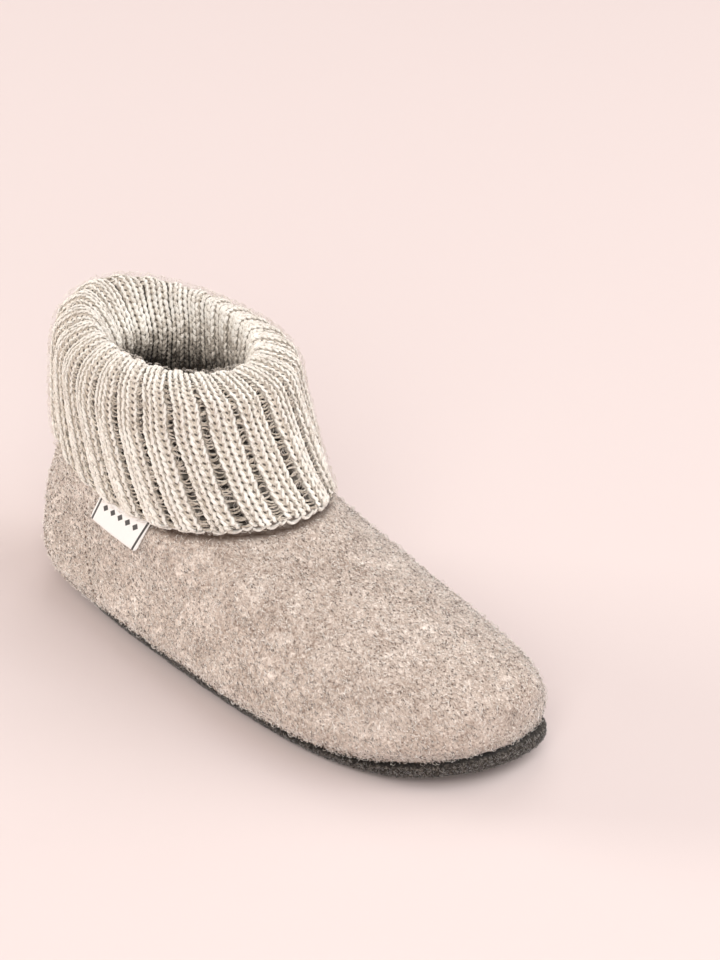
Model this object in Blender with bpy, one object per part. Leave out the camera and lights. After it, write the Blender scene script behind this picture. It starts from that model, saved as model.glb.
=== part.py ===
"""Slipper boot for the right foot: a hollow felted-wool upper on a felt sole, with a rib-knit cuff
turned down over the ankle. +X points to the toe, +Y to the wearer's left, +Z up."""

import math
from collections import namedtuple

import bpy
from mathutils import Vector
from mathutils.bvhtree import BVHTree

MM = 0.001

# Driving dimensions, in millimetres
SOLE_LENGTH = 264.0
BALL_WIDTH = 95.0
COLLAR_HEIGHT = 90.0
CUFF_HEIGHT = 141.0
SOLE_THICKNESS = 6.0
INSOLE_THICKNESS = 3.5
FELT_WALL = 3.5
KNIT_WALL = 3.5
LABEL_THICKNESS = 0.6
SEAT_GAP = 0.3

# How the sole leaves the floor: a low arch at the waist and a spring under the toes
ARCH_RISE = 1.5
ARCH_START = 62.0
ARCH_END = 146.0
TOE_SPRING = 8.4
SPRING_START = 194.0

# Where the foot is narrowest, and how far along the pinch reaches
WAIST_PLACE = 88.0
WAIST_REACH = 48.0
LATERAL_WAIST_SHARE = 0.25

# The upper follows the sole's lift at its foot and no longer at this height
LIFT_FADE_HEIGHT = 60.0

SOLE_EDGE_ROUND = 0.8
COLUMNS = 56
COLUMN_CROWDING = 0.45
SHARP_ANGLE = math.radians(40)

# A rail is one closed loop round the foot. Lengths are shares of SOLE_LENGTH from the sole's heel
# end, widths are shares of BALL_WIDTH from the middle line, heights are shares of the height that
# the table names, roundness is the power of the loop's curve, and the last two are millimetres.
Rail = namedtuple(
    "Rail",
    "name back_height front_height side_dip back widest front lateral medial"
    " front_round back_round toe_swing waist",
)

OUTSOLE = Rail("outline", 0, 0, 0, 0.000, 0.620, 1.000, 0.490, 0.512, 2.4, 2.6, 11.0, 7.0)

# Heights as shares of COLLAR_HEIGHT
UPPER = [
    Rail("featherline", 0.070, 0.070, 0, 0.008, 0.620, 0.993, 0.474, 0.496, 2.4, 2.6, 11.0, 7.0),
    Rail("bulge", 0.194, 0.194, 0, -0.022, 0.620, 0.996, 0.578, 0.540, 2.4, 2.8, 11.0, 8.0),
    Rail("shoulder", 0.417, 0.417, 0, -0.041, 0.546, 0.975, 0.518, 0.468, 2.2, 2.4, 11.0, 6.0),
    Rail("vamp_low", 0.612, 0.612, 0, -0.022, 0.440, 0.771, 0.464, 0.420, 2.1, 2.4, 4.0, 0.0),
    Rail("vamp_high", 0.761, 0.761, 0, -0.008, 0.334, 0.599, 0.428, 0.385, 2.0, 2.3, 2.0, 0.0),
    Rail("collar", 1.000, 0.990, 0, 0.024, 0.266, 0.490, 0.379, 0.368, 2.1, 2.2, 0.0, 0.0),
]

# Heights as shares of CUFF_HEIGHT, from the hem over the fold and down the inside
CUFF = [
    Rail("hem", 0.608, 0.562, 0.110, -0.008, 0.297, 0.578, 0.498, 0.451, 2.1, 2.3, 0.0, 0.0),
    Rail("outer_low", 0.678, 0.652, 0.030, -0.010, 0.274, 0.536, 0.500, 0.467, 2.1, 2.2, 0.0, 0.0),
    Rail("outer_high", 0.864, 0.812, 0.000, -0.002, 0.255, 0.497, 0.482, 0.477, 2.0, 2.1, 0.0, 0.0),
    Rail("shoulder", 0.938, 0.908, 0.000, 0.005, 0.251, 0.471, 0.429, 0.428, 2.3, 2.0, 0.0, 0.0),
    Rail("crest", 1.000, 0.932, 0.010, 0.058, 0.251, 0.413, 0.328, 0.310, 2.0, 2.0, 0.0, 0.0),
    Rail("inner_high", 0.930, 0.900, 0.000, 0.110, 0.253, 0.385, 0.280, 0.272, 2.0, 2.0, 0.0, 0.0),
    Rail("inner_mid", 0.800, 0.770, 0.000, 0.134, 0.255, 0.376, 0.258, 0.252, 2.0, 2.0, 0.0, 0.0),
    Rail("inner_end", 0.600, 0.590, 0.000, 0.054, 0.262, 0.462, 0.300, 0.290, 2.0, 2.1, 0.0, 0.0),
]
UPPER_STEPS = 4
CUFF_STEPS = 3

# The label's corners on the lateral side, in millimetres along the foot and above the floor
Corner = namedtuple("Corner", "along height")
LABEL_TOP_HEEL = Corner(62.5, 71.0)
LABEL_TOP_TOE = Corner(98.0, 72.5)
LABEL_LOW_HEEL = Corner(53.0, 52.1)
LABEL_LOW_TOE = Corner(89.5, 51.0)
LABEL_STAND_OFF = 1.2
LABEL_CELLS_ALONG = 8
LABEL_CELLS_DOWN = 5
CAST_DISTANCE = 200.0

FELT_ROUGHNESS = 0.95
RIBBON_ROUGHNESS = 0.6
FELT_COLOUR = (0.46, 0.39, 0.32)
KNIT_COLOUR = (0.62, 0.56, 0.48)
SOLE_COLOUR = (0.045, 0.044, 0.045)
INSOLE_COLOUR = (0.40, 0.34, 0.28)
LABEL_COLOUR = (0.86, 0.85, 0.82)


def clear_scene():
    for old in list(bpy.data.objects):
        bpy.data.objects.remove(old, do_unlink=True)


def floor_lift(along):
    """How far the sole is off the floor, in millimetres, at a place along the foot."""
    arch_share = (along - ARCH_START) / (ARCH_END - ARCH_START)
    arch = 0.0
    if 0.0 < arch_share < 1.0:
        arch = ARCH_RISE * math.sin(math.pi * arch_share) ** 2
    spring_share = max(0.0, (along - SPRING_START) / (SOLE_LENGTH - SPRING_START))
    return arch + TOE_SPRING * spring_share**2


def column_angles():
    """Angles round the foot from the toe, closer together at the tips and the flanks."""
    turns = [2 * math.pi * column / COLUMNS for column in range(COLUMNS)]
    return [turn - COLUMN_CROWDING * math.sin(4 * turn) / 4 for turn in turns]


def powered(value, power):
    return math.copysign(abs(value) ** power, value)


def rail_point(rail, height, angle):
    """One point of a rail, in millimetres from the sole's heel end."""
    forward = math.cos(angle)
    sideways = math.sin(angle)
    ahead = forward >= 0
    power = 2 / (rail.front_round if ahead else rail.back_round)
    reach = rail.front - rail.widest if ahead else rail.widest - rail.back
    along = SOLE_LENGTH * (rail.widest + reach * powered(forward, power))
    half = BALL_WIDTH * (rail.medial if sideways >= 0 else rail.lateral)
    across = half * powered(sideways, power)
    if ahead:
        across += rail.toe_swing * forward**3
    pinch = rail.waist * math.exp(-(((along - WAIST_PLACE) / WAIST_REACH) ** 2))
    pinch *= math.sqrt(abs(sideways))
    across += LATERAL_WAIST_SHARE * pinch if sideways < 0 else -pinch
    share = (along / SOLE_LENGTH - rail.back) / (rail.front - rail.back)
    level = rail.back_height + (rail.front_height - rail.back_height) * share
    level -= rail.side_dip * max(0.0, 1 - (2 * share - 1) ** 2)
    up = level * height
    seat = SOLE_THICKNESS + SEAT_GAP
    follow = max(0.0, min(1.0, (LIFT_FADE_HEIGHT - up) / (LIFT_FADE_HEIGHT - seat)))
    return Vector((along, across, up + floor_lift(along) * follow))


def rail_loop(rail, height):
    return [rail_point(rail, height, angle) for angle in column_angles()]


def between(before, start, end, after, share):
    """A point on the smooth curve from start to end, shaped by the points before and after."""
    return 0.5 * (
        2 * start
        + (end - before) * share
        + (2 * before - 5 * start + 4 * end - after) * share**2
        + (3 * start - before - 3 * end + after) * share**3
    )


def smooth_loops(rails, height, steps):
    """Loops that run smoothly through the rails, with steps loops for each span."""
    loops = [rail_loop(rail, height) for rail in rails]
    first = [2 * a - b for a, b in zip(loops[0], loops[1])]
    last = [2 * a - b for a, b in zip(loops[-1], loops[-2])]
    padded = [first, *loops, last]
    run = []
    for span in range(len(loops) - 1):
        near = padded[span : span + 4]
        for step in range(steps):
            run.append([between(*points, step / steps) for points in zip(*near)])
    run.append(loops[-1])
    return run


def facing(loops, row, column):
    """The outward direction of a surface of loops at one of its points."""
    right = loops[row][(column + 1) % COLUMNS]
    left = loops[row][column - 1]
    above = loops[min(row + 1, len(loops) - 1)][column]
    below = loops[max(row - 1, 0)][column]
    return (right - left).cross(above - below).normalized()


def level_facing(loop, column):
    """The outward direction in the horizontal plane at one point of a loop."""
    run = loop[(column + 1) % COLUMNS] - loop[column - 1]
    return Vector((run.y, -run.x, 0)).normalized()


def inset_loop(loop, depth):
    """A loop moved inwards by depth, at the same height over the floor as the sole runs there."""
    moved = []
    for column, point in enumerate(loop):
        inner = point - level_facing(loop, column) * depth
        inner.z += floor_lift(inner.x) - floor_lift(point.x)
        moved.append(inner)
    return moved


def ring_faces(rows, close):
    """Quads between neighbouring loops, and from the last loop to the first when close is set."""
    faces = []
    for row in range(rows if close else rows - 1):
        for column in range(COLUMNS):
            beside = (column + 1) % COLUMNS
            here = row * COLUMNS
            above = (row + 1) % rows * COLUMNS
            faces.append((here + column, here + beside, above + beside, above + column))
    return faces


def walled(loops, wall, level_start):
    """A closed wall behind a surface of loops. level_start lays the first rim flat."""
    back = []
    for row, loop in enumerate(loops):
        if row == 0 and level_start:
            back.append(inset_loop(loop, wall))
        else:
            back.append([p - facing(loops, row, c) * wall for c, p in enumerate(loop)])
    skin = loops + back[::-1]
    points = [point for loop in skin for point in loop]
    return points, ring_faces(len(skin), close=True)


def slab(outline, low, high, edge_round):
    """A sheet with rounded edges between two heights above the sole's own lift."""
    tucked = inset_loop(outline, edge_round)
    edges = [(tucked, low), (outline, low + edge_round), (outline, high - edge_round), (tucked, high)]
    points = []
    for loop, height in edges:
        points += [Vector((p.x, p.y, height + floor_lift(p.x))) for p in loop]
    faces = ring_faces(len(edges), close=False)
    top = (len(edges) - 1) * COLUMNS
    for column in range(COLUMNS // 2):
        across = (COLUMNS - column) % COLUMNS
        rung = list(dict.fromkeys((column, column + 1, (across - 1) % COLUMNS, across)))
        faces.append(tuple(reversed(rung)))
        faces.append(tuple(top + corner for corner in rung))
    return points, faces


def outsole():
    return slab(rail_loop(OUTSOLE, 1.0), 0.0, SOLE_THICKNESS, SOLE_EDGE_ROUND)


def insole(upper_loops):
    outline = inset_loop(upper_loops[0], FELT_WALL + SEAT_GAP)
    low = SOLE_THICKNESS + SEAT_GAP
    return slab(outline, low, low + INSOLE_THICKNESS, SOLE_EDGE_ROUND)


def label(upper_loops):
    """A ribbon that lies on the lateral side of the felt and comes away from it lower down."""
    points = [point for loop in upper_loops for point in loop]
    felt = BVHTree.FromPolygons(points, ring_faces(len(upper_loops), close=False))
    front = []
    back = []
    for down in range(LABEL_CELLS_DOWN + 1):
        drop = down / LABEL_CELLS_DOWN
        for cell in range(LABEL_CELLS_ALONG + 1):
            share = cell / LABEL_CELLS_ALONG
            heel_end = Vector(LABEL_TOP_HEEL).lerp(Vector(LABEL_LOW_HEEL), drop)
            toe_end = Vector(LABEL_TOP_TOE).lerp(Vector(LABEL_LOW_TOE), drop)
            along, height = heel_end.lerp(toe_end, share)
            seat = felt.ray_cast(Vector((along, -CAST_DISTANCE, height)), Vector((0, 1, 0)))[0]
            inner = seat.y - SEAT_GAP - LABEL_STAND_OFF * drop**2
            back.append(Vector((along, inner, height)))
            front.append(Vector((along, inner - LABEL_THICKNESS, height)))
    return front + back, sheet_faces(LABEL_CELLS_ALONG + 1, LABEL_CELLS_DOWN + 1)


def sheet_faces(wide, tall):
    """Faces of a closed sheet: a front grid, a back grid behind it and the rim between them."""
    behind = wide * tall
    faces = []
    for row in range(tall - 1):
        for column in range(wide - 1):
            a = row * wide + column
            quad = (a, a + wide, a + wide + 1, a + 1)
            faces.append(quad)
            faces.append(tuple(behind + corner for corner in reversed(quad)))
    rim = list(range(wide))
    rim += [row * wide + wide - 1 for row in range(1, tall)]
    rim += [(tall - 1) * wide + column for column in range(wide - 2, -1, -1)]
    rim += [row * wide for row in range(tall - 2, 0, -1)]
    for here, beyond in zip(rim, rim[1:] + rim[:1]):
        faces.append((here, beyond, behind + beyond, behind + here))
    return faces


def material(name, colour, roughness):
    made = bpy.data.materials.new(name)
    made.use_nodes = True
    shader = made.node_tree.nodes["Principled BSDF"]
    shader.inputs["Base Color"].default_value = (*colour, 1)
    shader.inputs["Roughness"].default_value = roughness
    shader.inputs["Metallic"].default_value = 0
    return made


def add_piece(name, solid, skin, origin, parent):
    """A named object of a solid given in millimetres, set so that origin becomes the frame's zero."""
    points, faces = solid
    mesh = bpy.data.meshes.new(name)
    mesh.from_pydata([(point - origin) * MM for point in points], [], faces)
    mesh.shade_smooth()
    mesh.set_sharp_from_angle(angle=SHARP_ANGLE)
    mesh.materials.append(skin)
    piece = bpy.data.objects.new(name, mesh)
    piece.parent = parent
    bpy.context.scene.collection.objects.link(piece)


def base_centre(solids):
    """The middle of the underside of the box that holds every solid."""
    points = [point for points, _ in solids for point in points]
    low = [min(point[axis] for point in points) for axis in range(3)]
    high = [max(point[axis] for point in points) for axis in range(3)]
    return Vector(((low[0] + high[0]) / 2, (low[1] + high[1]) / 2, low[2]))


def build():
    clear_scene()
    upper_loops = smooth_loops(UPPER, COLLAR_HEIGHT, UPPER_STEPS)
    cuff_loops = smooth_loops(CUFF, CUFF_HEIGHT, CUFF_STEPS)
    pieces = {
        "outsole": (outsole(), material("charcoal_felt", SOLE_COLOUR, FELT_ROUGHNESS)),
        "insole": (insole(upper_loops), material("insole_felt", INSOLE_COLOUR, FELT_ROUGHNESS)),
        "upper": (
            walled(upper_loops, FELT_WALL, level_start=True),
            material("wool_felt", FELT_COLOUR, FELT_ROUGHNESS),
        ),
        "cuff": (
            walled(cuff_loops, KNIT_WALL, level_start=False),
            material("rib_knit", KNIT_COLOUR, FELT_ROUGHNESS),
        ),
        "label": (label(upper_loops), material("ribbon", LABEL_COLOUR, RIBBON_ROUGHNESS)),
    }
    boot = bpy.data.objects.new("slipper_boot", None)
    bpy.context.scene.collection.objects.link(boot)
    origin = base_centre([solid for solid, _ in pieces.values()])
    for name, (solid, skin) in pieces.items():
        add_piece(name, solid, skin, origin, boot)


build()
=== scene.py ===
"""Slipper boot for the right foot: a boiled-wool upper on a felt sole, with a turned-over rib-knit cuff.

The frame gives every piece its place: +X towards the toe, +Y towards the inner ankle, +Z up, in metres.
The upper, sole, insole and label are merged, subdivided copies of the CAD nodes, reshaped. The cuff is
knitted: each leg of each stitch is a strand of its own, laid over the face of the CAD cuff.
"""
import math

import bpy
import numpy as np
from mathutils import Matrix, Vector, noise
from mathutils.bvhtree import BVHTree


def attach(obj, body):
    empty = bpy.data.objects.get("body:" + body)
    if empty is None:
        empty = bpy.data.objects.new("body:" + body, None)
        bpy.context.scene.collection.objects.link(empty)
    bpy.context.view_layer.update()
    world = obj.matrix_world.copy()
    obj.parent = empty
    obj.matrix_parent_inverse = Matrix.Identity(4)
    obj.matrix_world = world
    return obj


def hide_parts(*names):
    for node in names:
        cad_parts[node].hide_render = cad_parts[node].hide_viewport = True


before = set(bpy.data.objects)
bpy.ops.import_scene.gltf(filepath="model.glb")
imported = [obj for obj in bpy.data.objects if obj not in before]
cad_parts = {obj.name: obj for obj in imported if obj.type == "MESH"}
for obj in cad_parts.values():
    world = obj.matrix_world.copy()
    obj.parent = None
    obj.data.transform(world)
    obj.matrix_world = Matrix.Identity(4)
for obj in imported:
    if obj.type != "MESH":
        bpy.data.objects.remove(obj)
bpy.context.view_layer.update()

MM = 0.001
ONE_TURN = 2 * math.pi
FAR = 0.2  # m, further than any ray across the boot has to go
SUBDIVISIONS = 2  # of the copies of CAD nodes
MERGE = 0.01  # mm within which a copy's vertices are one

# The knit, in mm unless a line says otherwise
RIBS = 24
COURSES = 45
PIECE_COURSES = (("knit_ribs_outer", 0, 23), ("knit_ribs_inner", 23, COURSES - 1))
PAINTED_SHADE_COURSES = (28, 38)  # between these painted shade deepens on the yarn, towards the inside how much of its tone the yarn loses there to painted shade and how much the fabric behind it loses to painted shade
YARN_PAINTED_SHADE = 2.1  # how much of its tone the yarn loses there
GROUND_PAINTED_SHADE = 0.8  # and how much the fabric behind it loses
COURSE_SHIFT = 0.2  # how far a rib's courses may be shifted, in courses
RIB_SWAY = 0.035  # how far a gap wanders, as a share of the rib spacing
RIB_KNOTS = 7  # places along a rib at which its sway and its gap change
RIB_CROWN = 1.6  # how much lower a rib is along its edges
OPEN_PITCH = 16.4  # rib spacing at which the purl gaps are open
SHUT_PITCH = 9.8  # rib spacing at which they close
OPEN_GAP = 0.23  # share of the spacing that an open gap takes
SHUT_GAP = 0.04
MOST_OPEN = 1.2  # how far a gap may be stretched, against an open one
GAP_VARIATION = (0.70, 1.25)  # a gap's width, as a share of the usual one
PLIES = 2.0
PLY_WIND = 5.0  # length of yarn in which its plies wind once round
YARN_ENDS = 0.6  # thickness of a leg or loop at its ends, as a share

# Along the knit from the hem (0) to the inner end (1): how far round the ribs have swung, in rib spacings,
# the yarn's half thickness, and how far a stitch's legs lean, as a share of the stitch's width
RIB_TWIST = ((0.0, 0.45, 1.0), (0.25, -0.45, -0.80))
YARN_RADIUS = ((0.0, 0.22, 0.36, 0.50, 0.60, 1.0), (0.84, 0.88, 0.68, 0.64, 0.94, 0.80))
LEG_LEAN = ((0.0, 0.12, 0.30, 0.50), (0.26, 0.23, 0.22, 0.21))

# Round the knit from the heel (0 and 1): how thick the yarn is, as a share
HEEL_YARN = ((0.0, 0.10, 0.20, 0.30, 0.93, 1.0), (0.86, 0.74, 0.76, 1.0, 1.0, 0.86))

# A leg of a stitch, in courses along the rib, stitch widths across it and mm
LEG_POINTS = 7
LEG_START = 0.05
LEG_LENGTH = 1.5  # a leg's tip lies over the next one's foot
LEG_SLIP = 0.06  # how far it strays along the rib
LEG_SPREAD = 0.25  # how far it stands from the middle of its stitch
LEG_STRAY = 0.02  # how far it strays across the rib
LEG_SWING = ((0.0, 0.7, 1.0), (-0.5, 0.5, -0.1))  # its place on its lean, from its foot to its tip
LEG_DEPTH = 1.0  # how deep its middle lies under the cuff's face
LEG_DIP = ((0.0, 0.45, 0.60), (0.8, 0.7, 0.5))  # how much deeper its ends lie, along the knit
LEG_UNEVENNESS = 0.07  # how its thickness varies, as a share
ARCH_TRIM = 0.07  # share of a half wave that is cut off each end of its arch
ARCH_POWER = 0.65

# The purl bars in the gaps, in courses along the rib and mm
BAR_POINTS = 5
BAR_STEP = 0.45
BAR_START = 0.6
BAR_SLIP = 0.10
BAR_SAG = (0.1, 0.5)
BAR_TILT = 0.18
BAR_DEPTH = 2.5  # how deep a bar's ends lie
BAR_BOW = 0.6  # how far its middle stands out from there
BAR_STRAY = 0.3  # how much its depth varies
BAR_OVERLAP = 0.8  # how far its ends run under the ribs
BAR_RADIUS = 0.42
BAR_ENDS = 0.7  # its thickness at its ends, as a share
BAR_UNEVENNESS = 0.15
NARROWEST_GAP = 0.7  # in which bars still show

# The loops along the hem, in courses along the rib and mm
EDGE_POINTS = 9
EDGE_REACH = 0.52  # half a loop's length, as a share of the width that it spans
EDGE_START = 0.50  # where its ends lie
EDGE_HANG = 0.95  # how far its middle hangs below them
EDGE_SLIP = 0.08
EDGE_DEPTH = 1.1  # how deep its ends lie
EDGE_SUNK = 0.8  # how much deeper a loop across a gap lies
EDGE_RADIUS = 0.9
EDGE_UNEVENNESS = 0.06

# The fabric behind the stitches, in mm
GROUND_ROWS = 73
GROUND_START = 0.004  # its lowest row, along the knit
GROUND_DEPTH = 1.75  # behind the stitches of a rib
GAP_DEPTH = 3.2  # and behind the purl bars
GROUND_BACK = 3.6
RIB_COLUMNS = (0.06, 0.3, 0.5, 0.7, 0.94)  # its columns, as shares of the rib and of the gap
GAP_COLUMNS = (0.2, 0.5, 0.8)
RIB_STRANDS = 4  # legs side by side on a rib
STRAND_COLUMNS = (3.88, 4.0, 4.12)  # the gap's columns on the count of strands
PAINTED_GAP_TONE = 0.15  # its brightness in the gaps, where painted shade darkens it

# How the cuff's face is found, in mm: rays towards the middle of the rolled wall, all round an upright axis
CUFF_AXIS = (-65.0, 0.0)
ROLL_HEIGHT = 105.0
OUTER_REACH = 90.0  # from the middle of the wall to where rays start outside the cuff
INNER_REACH = 60.0  # and inside it
GRAZING = 0.02  # a ray meets the face if its normal looks at least this much towards the ray
FACE_SWEEP = 200  # degrees to either side of upright
FACE_TURNS = 192
FACE_ROWS = 121
FACE_SMOOTHING = 3

# The upper's unevenness in mm: size and depth of its soft lumps, and the crease at the heel
FELT_LUMPS = ((26, 0.5), (9, 0.22))
HEEL_CREASE = ((-79, -37.5, 56), (-80, -37.6, 46), (-77, -40, 35), (-71, -43.3, 28), (-66, -46, 21))
CREASE_WIDTH = 2.6
CREASE_DEPTH = 0.9

# The row of stitches in that crease, in mm
SEAM_STEP = 2.6
SEAM_STITCH = 1.5
SEAM_STRAY = 0.25
SEAM_RADIUS = 0.35
SEAM_LIFT = 0.9  # above the felt, so that it shows in the nap

# The trough that the cuff's hem presses into the felt, with painted shade in it, this far under the hem, in
# mm
HEM_DROP = 1.2
HEM_WIDTH = 2.4
HEM_DEPTH = 1.3
HEM_BARE = 0.5  # the nap is left off where the trough is deeper than this share

# Where the felt bulges over the sole at the heel, how wide, and the way it is pushed, in mm
HEEL_BULGE = ((-116, -27, 42), (-110, -34, 24), (-96, -41, 16))
BULGE_WIDTH = 17.0
BULGE_WAY = (-1.7, -2.4, 0.0)

# The sole stands out a little, and its lower edge is rounded: from this height in mm down, and by these
# shares of X and Y at the floor
SOLE_FLARE = 1.012
SOLE_ROUND = 6.0
SOLE_INSET = (0.03, 0.09)
SOLE_PAINTED_SHADE = 1.6  # mm from the upper within which the sole gets painted shade and no nap
COATED = 0.8  # a face that looks down at least this much has the latex coat
EDGE_LEVEL = 0.75  # a face that looks up or down less than this is part of the edge

# The label in mm: its corners' place along X and height, and the plain woven row on it
LABEL_TOP_HEEL = (-64.1, 71.0)
LABEL_LOW_HEEL = (-73.6, 52.1)
LABEL_LENGTH = 36.0
LOZENGE_STEP = 5.4
LOZENGE_SIZE = 1.9
LOZENGE_ROW = 27.0
LOZENGE_DROP = 9.5
BAR_INSET = 2.0
BAR_WIDTH = 1.3
WEFT_SCALE = 1.3  # puts the wave's bands 0.24 mm apart

# Loose wool, drawn thicker and sparser than real fibres so that it shows. For each kind of hair: its
# length, half thickness and rise, from least to most in mm, and its number of points
FELT_FIBRES = 30000  # in each of the two layers
HALO_FIBRES = 5000  # hairs that stand off the felt
SOLE_FIBRES = 6000
KNIT_FIBRES = 6000
NAP_HAIR = {"length": (1.0, 2.1), "radius": (0.15, 0.25), "points": 3}
NAP_LAYERS = (("felt_nap_under", (0.0, 0.4)), ("felt_nap_over", (0.1, 1.1)))  # with the rise of each
HALO_HAIR = {"length": (2.5, 5.0), "radius": (0.08, 0.12), "lift": (0.8, 2.0), "points": 4}
SOLE_HAIR = {"length": (1.0, 2.6), "radius": (0.09, 0.15), "lift": (0.0, 0.6), "points": 3}
YARN_HAIR = {"length": (2.0, 5.0), "radius": (0.05, 0.08), "lift": (0.3, 1.6), "points": 4}
HAIR_BEND = (0.3, 2.4)  # radians
HAIR_ARCH = ((0, 0.3, 0.7, 1), (-0.4, 0.8, 1.0, 0.3))  # a hair's height along it, as shares
HAIR_CLEAR = 0.05  # mm that is added to that height
LOWEST_HAIR = 0.4  # mm above the floor
FELT_COMB = (2.4, 0.2, -1.8)  # how strongly the nap is brushed towards the toe and down
COVER_REACH = 6.0  # mm within which the cuff or the label covers the felt
FUZZ_TOP = 0.6  # share of the knit, from the hem, that has loose hairs
FUZZ_DEPTH = 0.5  # mm under the cuff's face at which they start

# Studio, in m and W: name, place, aim, side, power and tint of each softbox
SOFTBOXES = (
    ("key_softbox", (1.5, 0.5, 2.1), (0, 0, 0.05), 2.0, 27, "#f8fbff"),
    ("heel_softbox", (-2.1, -1.0, 0.5), (0, 0, 0.05), 1.0, 50, "#fffaf4"),
    ("front_softbox", (1.3, -1.5, 1.5), (0, 0, 0.05), 1.6, 39, "#fffaf5"),
    ("rim_softbox", (0.9, 1.7, 1.5), (0, 0, 0.05), 2.0, 26, "#fffaf4"),
    ("back_softbox", (-1.2, 1.3, 2.0), (-1.0, 0.5, 0.0), 1.4, 16, "#fffafa"),
)
FILL_TINT = "#ffeae5"
FILL_STRENGTH = 0.32
FLOOR_SIDE = 6.0

# Camera, matched to the outline of the shoe in a 720 by 960 picture
PICTURE = (720, 960)
CAMERA_TURN = 46.97  # degrees
CAMERA_RISE = 28.7
CAMERA_DISTANCE = 1.2  # m
SENSOR_WIDTH = 36  # mm
FOCAL_PIXELS = 2832.0
AIM = Vector((7.6, 2.1, 60.0)) * MM
AIM_PIXEL = (286.3, 536.3)

rng = np.random.default_rng(39)


def colour(code):
    """sRGB hex to the linear RGBA that shaders use."""
    shares = [int(code[i : i + 2], 16) / 255 for i in (1, 3, 5)]
    return tuple(c / 12.92 if c <= 0.04045 else ((c + 0.055) / 1.055) ** 2.4 for c in shares) + (1.0,)


def per_mm(size):
    """Texture scale, in cycles a metre, for a pattern that repeats every so many mm."""
    return 1 / (size * MM)


def add(tree, kind, inputs=None, ramp=None, **settings):
    """Adds a node. inputs gives sockets by name or number, as values or as the sockets to link from."""
    node = tree.nodes.new(kind)
    for name, value in settings.items():
        setattr(node, name, value)
    for name, value in (inputs or {}).items():
        if isinstance(value, bpy.types.NodeSocket):
            tree.links.new(value, node.inputs[name])
        else:
            node.inputs[name].default_value = value
    for i, (place, code) in enumerate(ramp or []):
        stop = node.color_ramp.elements[i] if i < 2 else node.color_ramp.elements.new(place)
        stop.position = place
        stop.color = colour(code)
    return node


def new_material(name, **finish):
    """A material with a Principled shader whose unvarying sockets are set directly."""
    made = bpy.data.materials.new(name)
    made.use_nodes = True
    shader = made.node_tree.nodes["Principled BSDF"]
    for socket, value in finish.items():
        shader.inputs[socket.replace("_", " ")].default_value = value
    return made, made.node_tree, shader


def with_painted_shade(tree, tint, shade):
    """A colour with painted shade: darker where the mesh's attribute says that another piece stands over it.
    """
    painted_shade = add(tree, "ShaderNodeAttribute", attribute_name="painted_shade").outputs["Fac"]
    return add(
        tree, "ShaderNodeMix", {0: painted_shade, 6: tint, 7: colour(shade)}, data_type="RGBA",
    ).outputs[2]


def boiled_wool():
    """Boiled wool: matted, curled fibres of several shades, a soft beige with brown and pale flecks, and
    painted shade under the cuff's hem.
    """
    made, tree, shader = new_material(
        "boiled_wool", Roughness=0.95, Sheen_Weight=0.9, Sheen_Roughness=0.3, Specular_IOR_Level=0.15,
    )
    place = add(tree, "ShaderNodeTexCoord").outputs["Object"]
    curls = add(
        tree, "ShaderNodeTexNoise",
        {"Vector": place, "Scale": per_mm(2.2), "Detail": 3.0, "Roughness": 0.6, "Distortion": 1.2},
    ).outputs["Fac"]
    flecks = add(
        tree, "ShaderNodeTexNoise",
        {"Vector": place, "Scale": per_mm(1.1), "Detail": 2.0, "Roughness": 0.7, "Distortion": 0.8},
    ).outputs["Fac"]
    clouds = add(
        tree, "ShaderNodeTexNoise", {"Vector": place, "Scale": per_mm(14), "Detail": 2.0},
    ).outputs["Fac"]
    mixed = add(tree, "ShaderNodeMix", {0: 0.5, 2: curls, 3: flecks}, data_type="FLOAT").outputs[0]
    shaded = add(
        tree, "ShaderNodeMath", {0: clouds, 1: 0.25, 2: mixed}, operation="MULTIPLY_ADD",
    ).outputs[0]
    tint = add(
        tree, "ShaderNodeValToRGB", {"Fac": shaded},
        ramp=[(0.42, "#6e5f54"), (0.80, "#f8efe6"), (0.54, "#ab9b8f"), (0.66, "#d0c3b8")],
    ).outputs["Color"]
    # painted shade under the cuff's hem, in dark brown
    tree.links.new(with_painted_shade(tree, tint, "#4b3d34"), shader.inputs["Base Color"])
    bump = add(
        tree, "ShaderNodeBump", {"Height": mixed, "Strength": 0.9, "Distance": 1.2 * MM},
    ).outputs["Normal"]
    tree.links.new(bump, shader.inputs["Normal"])
    return made


def wool_fibre(name, stops):
    """Loose wool: fine crimped hairs, each of one shade."""
    made, tree, shader = new_material(
        name, Roughness=0.9, Sheen_Weight=0.8, Sheen_Roughness=0.3, Specular_IOR_Level=0.2,
    )
    tone = add(tree, "ShaderNodeAttribute", attribute_name="tone").outputs["Fac"]
    tint = add(tree, "ShaderNodeValToRGB", {"Fac": tone}, ramp=stops).outputs["Color"]
    tree.links.new(tint, shader.inputs["Base Color"])
    return made


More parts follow.
